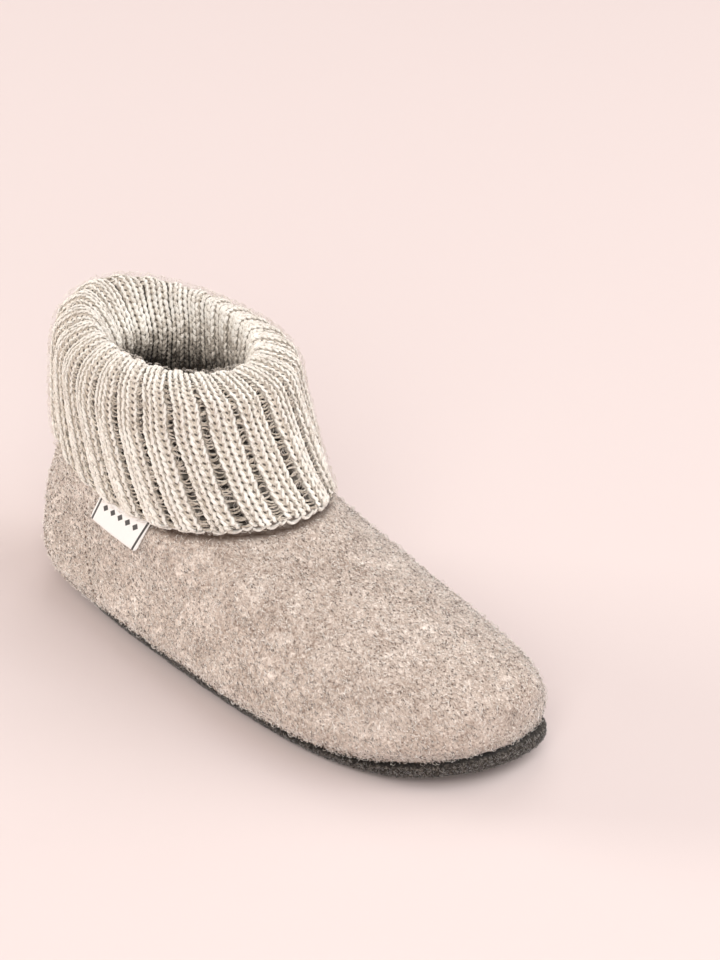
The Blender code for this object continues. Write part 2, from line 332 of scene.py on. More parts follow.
def rib_yarn(name, stops):
    """Undyed two-ply wool yarn: cream with grey heather, matt, its plies twisted, with painted shade on its
    underside.
    """
    made, tree, shader = new_material(
        name, Roughness=0.9, Sheen_Weight=0.15, Sheen_Roughness=0.5, Specular_IOR_Level=0.2,
    )
    coords = add(tree, "ShaderNodeTexCoord")
    tone = add(tree, "ShaderNodeAttribute", attribute_name="tone").outputs["Fac"]
    heather = add(
        tree, "ShaderNodeTexNoise",
        {"Vector": coords.outputs["Object"], "Scale": per_mm(0.9), "Detail": 3.0, "Roughness": 0.75},
    ).outputs["Fac"]
    mixed = add(
        tree, "ShaderNodeMath", {0: tone, 1: 0.30, 2: heather}, operation="MULTIPLY_ADD",
    ).outputs[0]
    tint = add(tree, "ShaderNodeValToRGB", {"Fac": mixed}, ramp=stops).outputs["Color"]
    strand = add(tree, "ShaderNodeSeparateXYZ", {0: coords.outputs["UV"]})
    # the top of a strand lies a quarter turn round it
    turn = add(
        tree, "ShaderNodeMath", {0: strand.outputs["X"], 1: ONE_TURN}, operation="MULTIPLY",
    ).outputs[0]
    upness = add(tree, "ShaderNodeMath", {0: turn}, operation="SINE").outputs[0]
    # painted shade: the yarn darker towards its underside
    shade = add(
        tree, "ShaderNodeMapRange",
        {"Value": upness, "From Min": -0.6, "From Max": 0.6, "To Min": 0.62, "To Max": 1.0},
    ).outputs[0]
    shaded = add(
        tree, "ShaderNodeMix", {0: 1.0, 6: tint, 7: shade}, data_type="RGBA", blend_type="MULTIPLY",
    ).outputs[2]
    tree.links.new(shaded, shader.inputs["Base Color"])
    # the UV map's Y is the angle by which the plies have wound round the yarn
    winding = add(
        tree, "ShaderNodeMath", {0: turn, 1: PLIES, 2: strand.outputs["Y"]}, operation="MULTIPLY_ADD",
    ).outputs[0]
    plies = add(tree, "ShaderNodeMath", {0: winding}, operation="SINE").outputs[0]
    height = add(
        tree, "ShaderNodeMath", {0: plies, 1: 0.5, 2: heather}, operation="MULTIPLY_ADD",
    ).outputs[0]
    bump = add(
        tree, "ShaderNodeBump", {"Height": height, "Strength": 0.9, "Distance": 0.4 * MM},
    ).outputs["Normal"]
    tree.links.new(bump, shader.inputs["Normal"])
    return made


def knit_backs():
    """The knit behind the strands: pale matted yarn, with painted shade as a dark hole beside each stitch and
    as darker brown in the gaps.

    Its UV map counts strands across a rib and courses along it.
    """
    made, tree, shader = new_material("knit_backs", Roughness=0.95, Specular_IOR_Level=0.1)
    coords = add(tree, "ShaderNodeTexCoord")
    heather = add(
        tree, "ShaderNodeTexNoise",
        {"Vector": coords.outputs["Object"], "Scale": per_mm(1.4), "Detail": 3.0, "Roughness": 0.7},
    ).outputs["Fac"]
    stitch = add(tree, "ShaderNodeSeparateXYZ", {0: coords.outputs["UV"]})
    # the holes on either side of a strand are half a course apart
    lagging = add(
        tree, "ShaderNodeMath", {0: stitch.outputs["X"], 1: 0.5, 2: stitch.outputs["Y"]},
        operation="MULTIPLY_ADD",
    ).outputs[0]
    aside = add(tree, "ShaderNodeMath", {0: stitch.outputs["X"], 1: 0.5}, operation="PINGPONG").outputs[0]
    ahead = add(tree, "ShaderNodeMath", {0: lagging, 1: 0.5}, operation="PINGPONG").outputs[0]
    way = add(tree, "ShaderNodeCombineXYZ", {"X": aside, "Y": ahead}).outputs[0]
    reach = add(tree, "ShaderNodeVectorMath", {0: way}, operation="LENGTH").outputs["Value"]
    # painted shade: a dark hole beside each stitch
    painted_hole_shade = add(
        tree, "ShaderNodeMapRange",
        {"Value": reach, "From Min": 0.13, "From Max": 0.27, "To Min": 0.16, "To Max": 1.0},
    ).outputs[0]
    tint = add(
        tree, "ShaderNodeValToRGB", {"Fac": heather},
        ramp=[(0.3, "#b5aa9b"), (0.7, "#f6f0e6"), (0.5, "#e3dacd")],
    ).outputs["Color"]
    # the tone attribute carries the painted shade of the gaps and of the inside
    tone = add(tree, "ShaderNodeAttribute", attribute_name="tone").outputs["Fac"]
    shade = add(tree, "ShaderNodeMath", {0: tone, 1: painted_hole_shade}, operation="MULTIPLY").outputs[0]
    shaded = add(
        tree, "ShaderNodeMix", {0: 1.0, 6: tint, 7: shade}, data_type="RGBA", blend_type="MULTIPLY",
    ).outputs[2]
    tree.links.new(shaded, shader.inputs["Base Color"])
    bump = add(
        tree, "ShaderNodeBump", {"Height": heather, "Strength": 1.0, "Distance": 1.0 * MM},
    ).outputs["Normal"]
    tree.links.new(bump, shader.inputs["Normal"])
    return made


def pressed_felt(name, stops):
    """Pressed felt: dense short fibres, nearly even in colour, with paler flecks and painted shade where the
    mesh's attribute marks it.
    """
    made, tree, shader = new_material(name, Roughness=0.95, Sheen_Weight=0.1, Specular_IOR_Level=0.15)
    place = add(tree, "ShaderNodeTexCoord").outputs["Object"]
    flecks = add(
        tree, "ShaderNodeTexNoise",
        {"Vector": place, "Scale": per_mm(1.3), "Detail": 3.0, "Roughness": 0.7, "Distortion": 0.6},
    ).outputs["Fac"]
    tint = add(tree, "ShaderNodeValToRGB", {"Fac": flecks}, ramp=stops).outputs["Color"]
    # painted shade: near black where another piece stands over the felt
    tree.links.new(with_painted_shade(tree, tint, "#0f0e0d"), shader.inputs["Base Color"])
    bump = add(
        tree, "ShaderNodeBump", {"Height": flecks, "Strength": 0.9, "Distance": 0.9 * MM},
    ).outputs["Normal"]
    tree.links.new(bump, shader.inputs["Normal"])
    return made


def latex_coat():
    """Latex brushed on the felt sole: a thin, slightly shiny rubber skin with a fine stipple."""
    made, tree, shader = new_material("latex_coat", Roughness=0.55)
    place = add(tree, "ShaderNodeTexCoord").outputs["Object"]
    stipple = add(
        tree, "ShaderNodeTexNoise", {"Vector": place, "Scale": per_mm(2.0), "Detail": 2.0},
    ).outputs["Fac"]
    tint = add(
        tree, "ShaderNodeValToRGB", {"Fac": stipple}, ramp=[(0.3, "#24211f"), (0.7, "#38332f")],
    ).outputs["Color"]
    tree.links.new(tint, shader.inputs["Base Color"])
    bump = add(
        tree, "ShaderNodeBump", {"Height": stipple, "Strength": 0.5, "Distance": 0.5 * MM},
    ).outputs["Normal"]
    tree.links.new(bump, shader.inputs["Normal"])
    return made


def satin_ribbon():
    """Woven satin ribbon: white, a little glossy, with fine weft ribs and a dark woven row of plain lozenges.

    Its UV map is in mm: along the ribbon from the heel end, and down from the hem.
    """
    made, tree, shader = new_material("satin_ribbon", Roughness=0.5, Sheen_Weight=0.1)
    place = add(tree, "ShaderNodeTexCoord").outputs["UV"]
    ribbon = add(tree, "ShaderNodeSeparateXYZ", {0: place})

    def reach(value, centre):
        """How far a value is from a centre."""
        off = add(tree, "ShaderNodeMath", {0: value, 1: centre}, operation="SUBTRACT").outputs[0]
        return add(tree, "ShaderNodeMath", {0: off}, operation="ABSOLUTE").outputs[0]

    def within(value, limit):
        """1 where a value is below a limit, 0 elsewhere."""
        return add(tree, "ShaderNodeMath", {0: value, 1: limit}, operation="LESS_THAN").outputs[0]

    from_middle = reach(ribbon.outputs["X"], LABEL_LENGTH / 2)
    step = add(
        tree, "ShaderNodeMath", {0: from_middle, 1: LOZENGE_STEP / 2}, operation="PINGPONG",
    ).outputs[0]
    lozenge = add(
        tree, "ShaderNodeMath", {0: step, 1: reach(ribbon.outputs["Y"], LOZENGE_DROP)}, operation="ADD",
    ).outputs[0]
    row = add(
        tree, "ShaderNodeMath", {0: within(lozenge, LOZENGE_SIZE), 1: within(from_middle, LOZENGE_ROW / 2)},
        operation="MULTIPLY",
    ).outputs[0]
    bar = within(reach(from_middle, LABEL_LENGTH / 2 - BAR_INSET), BAR_WIDTH / 2)
    woven = add(tree, "ShaderNodeMath", {0: row, 1: bar}, operation="MAXIMUM").outputs[0]
    tint = add(
        tree, "ShaderNodeValToRGB", {"Fac": woven}, ramp=[(0.0, "#e2e1df"), (1.0, "#211f1d")],
    ).outputs["Color"]
    tree.links.new(tint, shader.inputs["Base Color"])
    weft = add(
        tree, "ShaderNodeTexWave", {"Vector": place, "Scale": WEFT_SCALE, "Distortion": 0.3},
    ).outputs["Fac"]
    bump = add(
        tree, "ShaderNodeBump", {"Height": weft, "Strength": 0.25, "Distance": 0.1 * MM},
    ).outputs["Normal"]
    tree.links.new(bump, shader.inputs["Normal"])
    return made


def studio_paper():
    """Matt background paper: pale pink, with no shine."""
    made, _, _ = new_material(
        "studio_paper", Base_Color=colour("#d8cdcb"), Roughness=1.0, Specular_IOR_Level=0.0,
    )
    return made


def only(piece):
    """Selects this object alone and makes it active."""
    bpy.ops.object.select_all(action="DESELECT")
    piece.select_set(True)
    bpy.context.view_layer.objects.active = piece


def smooth_copy(node, name):
    """A copy of a CAD node, merged, paired into quads and subdivided into a smooth piece."""
    piece = bpy.data.objects.new(name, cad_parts[node].data.copy())
    bpy.context.collection.objects.link(piece)
    piece.data.materials.clear()
    only(piece)
    bpy.ops.object.mode_set(mode="EDIT")
    bpy.ops.mesh.select_all(action="SELECT")
    bpy.ops.mesh.remove_doubles(threshold=MERGE * MM)
    bpy.ops.mesh.tris_convert_to_quads()
    bpy.ops.object.mode_set(mode="OBJECT")
    bpy.ops.object.modifier_add(type="SUBSURF")
    step = piece.modifiers[-1]
    step.levels = SUBDIVISIONS
    step.render_levels = SUBDIVISIONS
    bpy.ops.object.modifier_apply(modifier=step.name)
    bpy.ops.object.shade_smooth()
    return piece


def finish_piece(piece, slot, *materials):
    """Gives a piece its materials and its place on the boot's one body. The slot argument is not used."""
    for material in materials:
        piece.data.materials.append(material)
    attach(piece, "root")
    return piece


def places_of(mesh):
    """A mesh's vertices as rows of x, y, z in metres."""
    flat = np.empty(len(mesh.vertices) * 3)
    mesh.vertices.foreach_get("co", flat)
    return flat.reshape(-1, 3)


def normals_of(mesh):
    """The way each vertex of a mesh faces."""
    flat = np.empty(len(mesh.vertices) * 3, np.float32)
    mesh.vertex_normals.foreach_get("vector", flat)
    return flat.reshape(-1, 3).astype(float)


def move_vertices(mesh, places):
    """Puts a mesh's vertices at new places."""
    mesh.vertices.foreach_set("co", places.ravel())
    mesh.update()


def keep_values(mesh, name, values):
    """Keeps a number for each vertex as an attribute that the materials read."""
    layer = mesh.attributes.new(name, "FLOAT", "POINT")
    layer.data.foreach_set("value", np.ravel(values).astype(np.float32))


def unit(rows):
    """Vectors of length 1."""
    return rows / np.maximum(np.linalg.norm(rows, axis=-1, keepdims=True), 1e-12)


def tree_of(obj):
    """A search tree of an object's faces."""
    mesh = obj.data
    return BVHTree.FromPolygons([v.co for v in mesh.vertices], [p.vertices for p in mesh.polygons])


def resampled(line, count):
    """A line of points cut into equal lengths."""
    length = np.concatenate([[0], np.cumsum(np.linalg.norm(np.diff(line, axis=0), axis=1))])
    wanted = np.linspace(0, length[-1], count)
    return np.stack([np.interp(wanted, length, line[:, i]) for i in range(3)], axis=1)


def fall_off(places, path, width):
    """1 on a path of points and less away from it, as a column; path and width in mm."""
    path = np.array(path, float) * MM
    nearest = np.full(len(places), np.inf)
    for start, end in zip(path[:-1], path[1:]):
        way = end - start
        share = np.clip((places - start) @ way / (way @ way), 0, 1)
        nearest = np.minimum(nearest, np.linalg.norm(places - start - share[:, None] * way, axis=1))
    return np.exp(-((nearest / (width * MM)) ** 2))[:, None]


def wool_mesh(name, places, faces, uv_name, uvs, tones):
    """A new smooth piece with a UV map and, for its material, a tone at each vertex."""
    mesh = bpy.data.meshes.new(name)
    mesh.from_pydata(places.reshape(-1, 3).tolist(), [], faces)
    layer = mesh.uv_layers.new(name=uv_name)
    layer.data.foreach_set("uv", np.ravel(uvs).astype(np.float32))
    keep_values(mesh, "tone", tones)
    mesh.polygons.foreach_set("use_smooth", np.ones(len(mesh.polygons), bool))
    mesh.update()
    piece = bpy.data.objects.new(name, mesh)
    bpy.context.collection.objects.link(piece)
    return piece


def strand_faces(points, sides):
    """One strand's quads and then its end fans, with their corners' turns round it and points along it.

    A strand's vertices are its two tips and then its rings.
    """
    rings = points - 2
    ring, side = np.meshgrid(np.arange(rings - 1), np.arange(sides), indexing="ij")
    near = 2 + ring * sides
    far = near + sides
    after = (side + 1) % sides
    quads = np.stack([near + side, far + side, far + after, near + after], axis=-1).reshape(-1, 4)
    quad_turns = np.stack([side, side, side + 1, side + 1], axis=-1).reshape(-1, 4) / sides
    quad_points = np.stack([ring, ring + 1, ring + 1, ring], axis=-1).reshape(-1, 4) + 1
    first = np.arange(sides)
    second = (first + 1) % sides
    last = 2 + (rings - 1) * sides
    start_fan = np.stack([np.zeros(sides, int), 2 + first, 2 + second], axis=-1)
    end_fan = np.stack([np.ones(sides, int), last + second, last + first], axis=-1)
    start_turns = np.stack([first + 0.5, first, first + 1], axis=-1)
    end_turns = np.stack([first + 0.5, first + 1, first], axis=-1)
    fans = np.concatenate([start_fan, end_fan])
    fan_turns = np.concatenate([start_turns, end_turns]) / sides
    fan_points = np.array([[0, 1, 1]] * sides + [[points - 1, points - 2, points - 2]] * sides)
    return (quads, quad_turns, quad_points), (fans, fan_turns, fan_points)


def strands(name, lines, ups, radii, tones, sides):
    """One joined mesh of closed strands that end in points.

    lines holds each strand's centre line, ups the way its top faces, radii its half thickness at each point.
    The UV map runs round the strand in turns and along it in radians of twist.
    """
    count, points, _ = lines.shape
    ahead = unit(np.gradient(lines, axis=1))
    across = unit(np.cross(ahead, ups))
    upright = np.cross(across, ahead)
    angle = np.arange(sides)[:, None] / sides * ONE_TURN
    outward = across[:, 1:-1, None] * np.cos(angle) + upright[:, 1:-1, None] * np.sin(angle)
    skin = lines[:, 1:-1, None] + outward * radii[:, 1:-1, None, None]
    places = np.concatenate([lines[:, :1], lines[:, -1:], skin.reshape(count, -1, 3)], axis=1)
    base = (np.arange(count) * places.shape[1])[:, None, None]
    twist = np.linalg.norm(np.diff(lines, axis=1), axis=-1) / (PLY_WIND * MM) * ONE_TURN
    along = np.concatenate([np.zeros((count, 1)), np.cumsum(twist, axis=1)], axis=1)
    faces = []
    uvs = []
    for corners, turns, rows in strand_faces(points, sides):
        faces += (corners + base).reshape(-1, corners.shape[1]).tolist()
        turns = np.broadcast_to(turns, (count, *turns.shape))
        uvs.append(np.stack([turns, along[:, rows]], axis=-1).ravel())
    tones = np.repeat(tones, places.shape[1])
    return wool_mesh(name, places, faces, "strand", np.concatenate(uvs), tones)


def triangle_middles(mesh):
    """The middle and the normal of each triangle of a mesh."""
    mesh.calc_loop_triangles()
    middles = []
    for triangle in mesh.loop_triangles:
        middles.append((Vector(triangle.center), Vector(triangle.normal)))
    return middles


def scattered(mesh, wanted, count):
    """Random points, evenly thick over the triangles that wanted marks, with the triangles' normals."""
    corners = np.empty(len(mesh.loop_triangles) * 3, int)
    mesh.loop_triangles.foreach_get("vertices", corners)
    corners = places_of(mesh)[corners.reshape(-1, 3)]
    cross = np.cross(corners[:, 1] - corners[:, 0], corners[:, 2] - corners[:, 0])
    area = np.linalg.norm(cross, axis=1) * wanted
    chosen = rng.choice(len(area), count, p=area / area.sum())
    share = rng.random((count, 2))
    over = share.sum(axis=1) > 1
    share[over] = 1 - share[over]
    a, b, c = corners[chosen].transpose(1, 0, 2)
    return a + (b - a) * share[:, :1] + (c - a) * share[:, 1:], unit(cross[chosen])


def curled_fibres(name, roots, ups, length, radius, lift, points, comb=(0, 0, 0)):
    """Short curled hairs that lie on a surface: each is an arc of its own length, bend and shade.

    comb is the way they are brushed, against a random part of size 1.
    """
    count = len(roots)
    way = np.array(comb) + unit(rng.normal(size=(count, 3)))
    aside = unit(np.cross(ups, way))
    heading = np.cross(aside, ups)
    bend = rng.uniform(*HAIR_BEND, count) * rng.choice((-1, 1), count)
    long = rng.uniform(*length, count) * MM
    thick = rng.uniform(*radius, count) * MM
    rise = rng.uniform(*lift, count) * MM
    share = np.linspace(0, 1, points)
    turned = bend[:, None] * (share - 0.5)
    forward = long[:, None] * np.sin(turned) / bend[:, None]
    sideways = long[:, None] * (1 - np.cos(turned)) / bend[:, None]
    height = rise[:, None] * np.interp(share, *HAIR_ARCH) + HAIR_CLEAR * MM
    lines = (
        roots[:, None]
        + heading[:, None] * forward[..., None]
        + aside[:, None] * sideways[..., None]
        + ups[:, None] * height[..., None]
    )
    lines[..., 2] = np.maximum(lines[..., 2], LOWEST_HAIR * MM)
    radii = np.repeat(thick[:, None], points, axis=1)
    up_rows = np.repeat(ups[:, None], points, axis=1)
    return strands(name, lines, up_rows, radii, rng.random(count), 3)


def hem_line(face):
    """The closed line on the felt just under the cuff's hem, in mm."""
    felt = tree_of(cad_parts["upper"])
    line = []
    for place in face.places[:, 0]:
        line.append(felt.find_nearest(Vector(place) - Vector((0, 0, HEM_DROP * MM)))[0])
    return np.array(line + line[:1]) / MM


def felt_upper(hem):
    """The wool upper: soft lumps, a crease and a bulge at the heel, and a trough under the cuff's hem with
    painted shade in it.
    """
    piece = smooth_copy("upper", "felt_upper")
    places = places_of(piece.data)
    normals = normals_of(piece.data)
    for size, depth in FELT_LUMPS:
        lumps = np.array([noise.noise(Vector(p) * per_mm(size)) for p in places])
        places = places + normals * (lumps * depth * MM)[:, None]
    places = places - normals * CREASE_DEPTH * MM * fall_off(places, HEEL_CREASE, CREASE_WIDTH)
    # the weight of the painted shade along the hem, which also sinks the trough
    painted_shade = fall_off(places, hem, HEM_WIDTH)
    places = places - normals * HEM_DEPTH * MM * painted_shade
    places = places + np.array(BULGE_WAY) * MM * fall_off(places, HEEL_BULGE, BULGE_WIDTH)
    move_vertices(piece.data, places)
    keep_values(piece.data, "painted_shade", painted_shade)
    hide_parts("upper")
    return finish_piece(piece, "wool_felt", boiled_wool())


def felt_nap(upper, hem):
    """Two layers of short wool brushed over the outside of the upper, and a few hairs that stand off it."""
    own = tree_of(upper)
    covers = [tree_of(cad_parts[name]) for name in ("cuff", "label")]
    middles = triangle_middles(upper.data)
    wanted = []
    for middle, normal in middles:
        open_air = own.ray_cast(middle + normal * MM, normal, FAR)[0] is None
        bare = all(cover.ray_cast(middle, normal, COVER_REACH * MM)[0] is None for cover in covers)
        wanted.append(open_air and bare)
    # no nap where the painted shade under the hem is strong
    painted_shade = fall_off(np.array([middle for middle, _ in middles]), hem, HEM_WIDTH)[:, 0]
    wanted = np.array(wanted) & (painted_shade < HEM_BARE)
    fibre = wool_fibre(
        "loose_wool",
        [(0.0, "#3f322a"), (1.0, "#fffdf8"), (0.18, "#7c6c60"), (0.30, "#cbbdb2"), (0.65, "#e4d8ce")],
    )
    for name, lift in NAP_LAYERS:
        roots, ups = scattered(upper.data, wanted, FELT_FIBRES)
        nap = curled_fibres(name, roots, ups, lift=lift, comb=FELT_COMB, **NAP_HAIR)
        finish_piece(nap, "wool_felt", fibre)
    roots, ups = scattered(upper.data, wanted, HALO_FIBRES)
    halo = curled_fibres("felt_halo", roots, ups, **HALO_HAIR)
    finish_piece(halo, "wool_felt", wool_fibre("pale_wool", [(0.0, "#d3c6bb"), (1.0, "#fffdf8")]))


def heel_seam(upper):
    """The row of small brown stitches where the heel is joined, along its crease."""
    tree = tree_of(upper)
    path = np.array(HEEL_CREASE, float) * MM
    length = np.linalg.norm(np.diff(path, axis=0), axis=1).sum() / MM
    middles = resampled(path, int(length / SEAM_STEP))
    ahead = unit(np.gradient(middles, axis=0))
    reach = np.linspace(-0.5, 0.5, 4)[None, :, None] * SEAM_STITCH * MM
    lines = middles[:, None] + ahead[:, None] * reach + rng.normal(0, SEAM_STRAY * MM, (len(middles), 1, 3))
    ups = np.zeros(lines.shape)
    for i, j in np.ndindex(lines.shape[:2]):
        place, normal, _, _ = tree.find_nearest(Vector(lines[i, j]))
        lines[i, j] = place + normal * SEAM_LIFT * MM
        ups[i, j] = normal
    radii = np.full(lines.shape[:2], SEAM_RADIUS * MM)
    piece = strands("heel_seam", lines, ups, radii, rng.random(len(lines)), 5)
    finish_piece(piece, "wool_felt", wool_fibre("seam_wool", [(0.0, "#5a4a3f"), (1.0, "#8f7e72")]))


def felt_sole():
    """The felt sole, with a rounded lower edge, a latex skin underneath and painted shade next to the upper.
    """
    piece = smooth_copy("outsole", "felt_sole")
    charcoal = pressed_felt("charcoal_felt", [(0.35, "#1f1d1b"), (0.72, "#8f8880"), (0.52, "#3e3a36")])
    finish_piece(piece, "charcoal_felt", charcoal, latex_coat())
    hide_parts("outsole")
    places = places_of(piece.data)
    low = np.clip(1 - places[:, 2:] / (SOLE_ROUND * MM), 0, 1)
    places[:, :2] *= SOLE_FLARE - low**2 * SOLE_INSET
    move_vertices(piece.data, places)
    for face in piece.data.polygons:
        face.material_index = 1 if face.normal.z < -COATED else 0
    # painted shade on the sole, darkest where the upper is nearest
    felt = tree_of(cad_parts["upper"])
    reach = np.array([felt.find_nearest(Vector(place))[3] for place in places]) / (SOLE_PAINTED_SHADE * MM)
    keep_values(piece.data, "painted_shade", np.exp(-(reach**2)))
    return piece


def sole_nap(sole):
    """Short wool on the edge of the sole, away from the painted shade next to the upper."""
    felt = tree_of(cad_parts["upper"])
    edge = []
    for middle, normal in triangle_middles(sole.data):
        shaded = felt.find_nearest(middle)[3] < SOLE_PAINTED_SHADE * MM
        edge.append(abs(normal.z) < EDGE_LEVEL and not shaded)
    roots, ups = scattered(sole.data, np.array(edge), SOLE_FIBRES)
    nap = curled_fibres("sole_nap", roots, ups, **SOLE_HAIR)
    fibre = wool_fibre("charcoal_wool", [(0.0, "#1c1a18"), (1.0, "#9a9289"), (0.65, "#4a4540")])
    finish_piece(nap, "charcoal_felt", fibre)


def felt_insole():
    """The loose felt insole."""
    piece = smooth_copy("insole", "felt_insole")
    grey = pressed_felt("grey_felt", [(0.3, "#7d7068"), (0.75, "#c9bcb0"), (0.5, "#a4968b")])
    finish_piece(piece, "insole_felt", grey)
    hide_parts("insole")


def ribbon_label():
    """The ribbon sewn under the cuff's hem."""
    piece = smooth_copy("label", "ribbon_label")
    places = places_of(piece.data) / MM
    slope = (LABEL_TOP_HEEL[0] - LABEL_LOW_HEEL[0]) / (LABEL_TOP_HEEL[1] - LABEL_LOW_HEEL[1])
    down = LABEL_TOP_HEEL[1] - places[:, 2]
    along = places[:, 0] - LABEL_TOP_HEEL[0] + slope * down
    corners = np.empty(len(piece.data.loops), int)
    piece.data.loops.foreach_get("vertex_index", corners)
    layer = piece.data.uv_layers.new(name="ribbon")
    layer.data.foreach_set("uv", np.stack([along, down], axis=1)[corners].ravel().astype(np.float32))
    finish_piece(piece, "ribbon", satin_ribbon())
    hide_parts("label")


def cuff_section(tree, turn):
    """The cuff's visible outline in one upright plane, from the hem over the crest to the inner end."""
    outward = Vector((-math.cos(turn), -math.sin(turn), 0))
    axis = Vector((*CUFF_AXIS, ROLL_HEIGHT)) * MM
    inner = tree.ray_cast(axis, outward, FAR)[0]
    outer = tree.ray_cast(axis + outward * FAR, -outward, FAR)[0]
    middle = (inner + outer) / 2
    reach_in = (middle - axis).length

    def hit(angle):
        """The face seen from one angle, or None where the face ends."""
        way = outward * math.cos(angle) + Vector((0, 0, math.sin(angle)))
        if way @ outward >= 0:
            reach = OUTER_REACH * MM
        else:
            reach = min(INNER_REACH * MM, reach_in / max(1e-6, -(way @ outward)))
        place, normal, _, _ = tree.ray_cast(middle + way * reach, -way, reach)
        return place if place is not None and normal @ way > GRAZING else None

    outline = []
    for step in (-1.0, 1.0):
        side = []
        angle = 90.0
        while (place := hit(math.radians(angle))) is not None and abs(angle - 90) < FACE_SWEEP:
            side.append(place)
            angle += step
        outline = side[:0:-1] if step < 0 else outline + side
    return np.array(outline)


class CuffFace:
    """The cuff's visible face as a smooth grid: round from the heel, and from the hem to the inner end."""

    def __init__(self):
        tree = tree_of(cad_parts["cuff"])
        turns = np.arange(FACE_TURNS) / FACE_TURNS * ONE_TURN
        grid = np.stack([resampled(cuff_section(tree, t), FACE_ROWS) for t in turns])
        for _ in range(FACE_SMOOTHING):
            grid = (np.roll(grid, 1, 0) + 2 * grid + np.roll(grid, -1, 0)) / 4
            grid[:, 1:-1] = (grid[:, :-2] + 2 * grid[:, 1:-1] + grid[:, 2:]) / 4
        rows = []
        for row in range(FACE_ROWS):
            ring = np.concatenate([grid[:, row], grid[:1, row]])
            rows.append(resampled(ring, FACE_TURNS + 1)[:-1])
        self.places = np.stack(rows, axis=1)
        around = np.roll(self.places, -1, 0) - np.roll(self.places, 1, 0)
        along = np.gradient(self.places, axis=1)
        self.normals = unit(np.cross(around, along))
        self.girth = np.linalg.norm(around, axis=-1).sum(axis=0) / 2 / MM

    def blend(self, grid, around, along):
        """The grid's values at places between its points."""
        place = (around % 1) * FACE_TURNS
        low = np.floor(place).astype(int)
        share = (place - low)[..., None]
        row = along * (FACE_ROWS - 1)
        under = np.clip(np.floor(row), 0, FACE_ROWS - 2).astype(int)
        rise = (row - under)[..., None]
        low = low % FACE_TURNS
        high = (low + 1) % FACE_TURNS
        below = grid[low, under] * (1 - share) + grid[high, under] * share
        above = grid[low, under + 1] * (1 - share) + grid[high, under + 1] * share
        return below * (1 - rise) + above * rise

    def at(self, around, along, lift):
        """Points over the face, lift mm above it, and the way the face looks there."""
        normals = unit(self.blend(self.normals, around, along))
        return self.blend(self.places, around, along) + normals * (lift * MM)[..., None], normals

    def pitch(self, along):
        """Rib spacing in mm."""
        rows = np.linspace(0, 1, FACE_ROWS)
        return np.interp(along, rows, self.girth) / RIBS


def gap_share(pitch):
    """The share of the rib spacing that the purl gap takes: open where the knit is stretched wide."""
    opening = np.clip((pitch - SHUT_PITCH) / (OPEN_PITCH - SHUT_PITCH), 0, MOST_OPEN)
    return SHUT_GAP + (OPEN_GAP - SHUT_GAP) * opening


class RibPlan:
    """Where the ribs run: the gaps between them wander a little and open by different amounts."""

    def __init__(self, face):
        self.face = face
        self.sway = rng.normal(0, RIB_SWAY, (RIBS, RIB_KNOTS))
        self.opening = rng.uniform(*GAP_VARIATION, (RIBS, RIB_KNOTS))
        self.offset = rng.uniform(-COURSE_SHIFT, COURSE_SHIFT, RIBS)

    def eased(self, knots, rib, along):
        """One of the random values, eased from knot to knot along a rib."""
        place = np.clip(along, 0, 1) * (RIB_KNOTS - 1)
        low = np.clip(np.floor(place), 0, RIB_KNOTS - 2).astype(int)
        share = place - low
        ease = share * share * (3 - 2 * share)
        return knots[rib % RIBS, low] * (1 - ease) + knots[rib % RIBS, low + 1] * ease

    def gap(self, rib, along):
        """The middle and the width of the gap after a rib, in rib spacings round from the heel."""
        middle = rib + 1 + np.interp(along, *RIB_TWIST) + self.eased(self.sway, rib, along)
        return middle, gap_share(self.face.pitch(along)) * self.eased(self.opening, rib, along)

    def edges(self, rib, along):
        """The two edges of a rib, in rib spacings."""
        before, width_before = self.gap(rib - 1, along)
        after, width_after = self.gap(rib, along)
        return before + width_before / 2, after - width_after / 2


def painted_shade_inside(course):
    """0 on the outside of the cuff, 1 at the courses deep inside that take the full painted shade."""
    return np.clip((course - PAINTED_SHADE_COURSES[0]) / (PAINTED_SHADE_COURSES[1] - PAINTED_SHADE_COURSES[0]), 0, 1)


def knit_legs(plan, name, first, last, yarn):
    """The knit stitches of the ribs: two legs a stitch, two stitches a rib, from one course to another."""
    rib, wale, leg, course = np.meshgrid(
        np.arange(RIBS), (-0.5, 0.5), (-1, 1), np.arange(first, last), indexing="ij",
    )
    rib, wale, leg, course = (a.ravel()[:, None] for a in (rib, wale, leg, course))
    t = np.linspace(0, 1, LEG_POINTS)[None]
    slip = plan.offset[rib] + rng.normal(0, LEG_SLIP, rib.shape)
    along = (course + slip + LEG_START + LEG_LENGTH * t) / COURSES
    spread = LEG_SPREAD + np.interp(along, *LEG_LEAN) * np.interp(t, *LEG_SWING)
    share = 0.5 + (wale + leg * spread + rng.normal(0, LEG_STRAY, rib.shape)) / 2
    start, end = plan.edges(rib, along)
    arch = np.sin(np.pi * (ARCH_TRIM + (1 - 2 * ARCH_TRIM) * t)) ** ARCH_POWER
    lift = -LEG_DEPTH - np.interp(along, *LEG_DIP) * (1 - arch) - RIB_CROWN * (2 * share - 1) ** 2
    around = (start + (end - start) * share) / RIBS
    lines, ups = plan.face.at(around, along, lift)
    radii = np.interp(along, *YARN_RADIUS) * np.interp(around % 1, *HEEL_YARN) * MM
    radii = radii * (YARN_ENDS + (1 - YARN_ENDS) * arch) * rng.normal(1, LEG_UNEVENNESS, rib.shape)
    # painted shade: the yarn darker deep inside the cuff
    tones = rng.random(len(rib)) - YARN_PAINTED_SHADE * painted_shade_inside(course[:, 0])
    piece = strands(name, lines, ups, radii, tones, 6)
    return finish_piece(piece, "rib_knit", yarn)


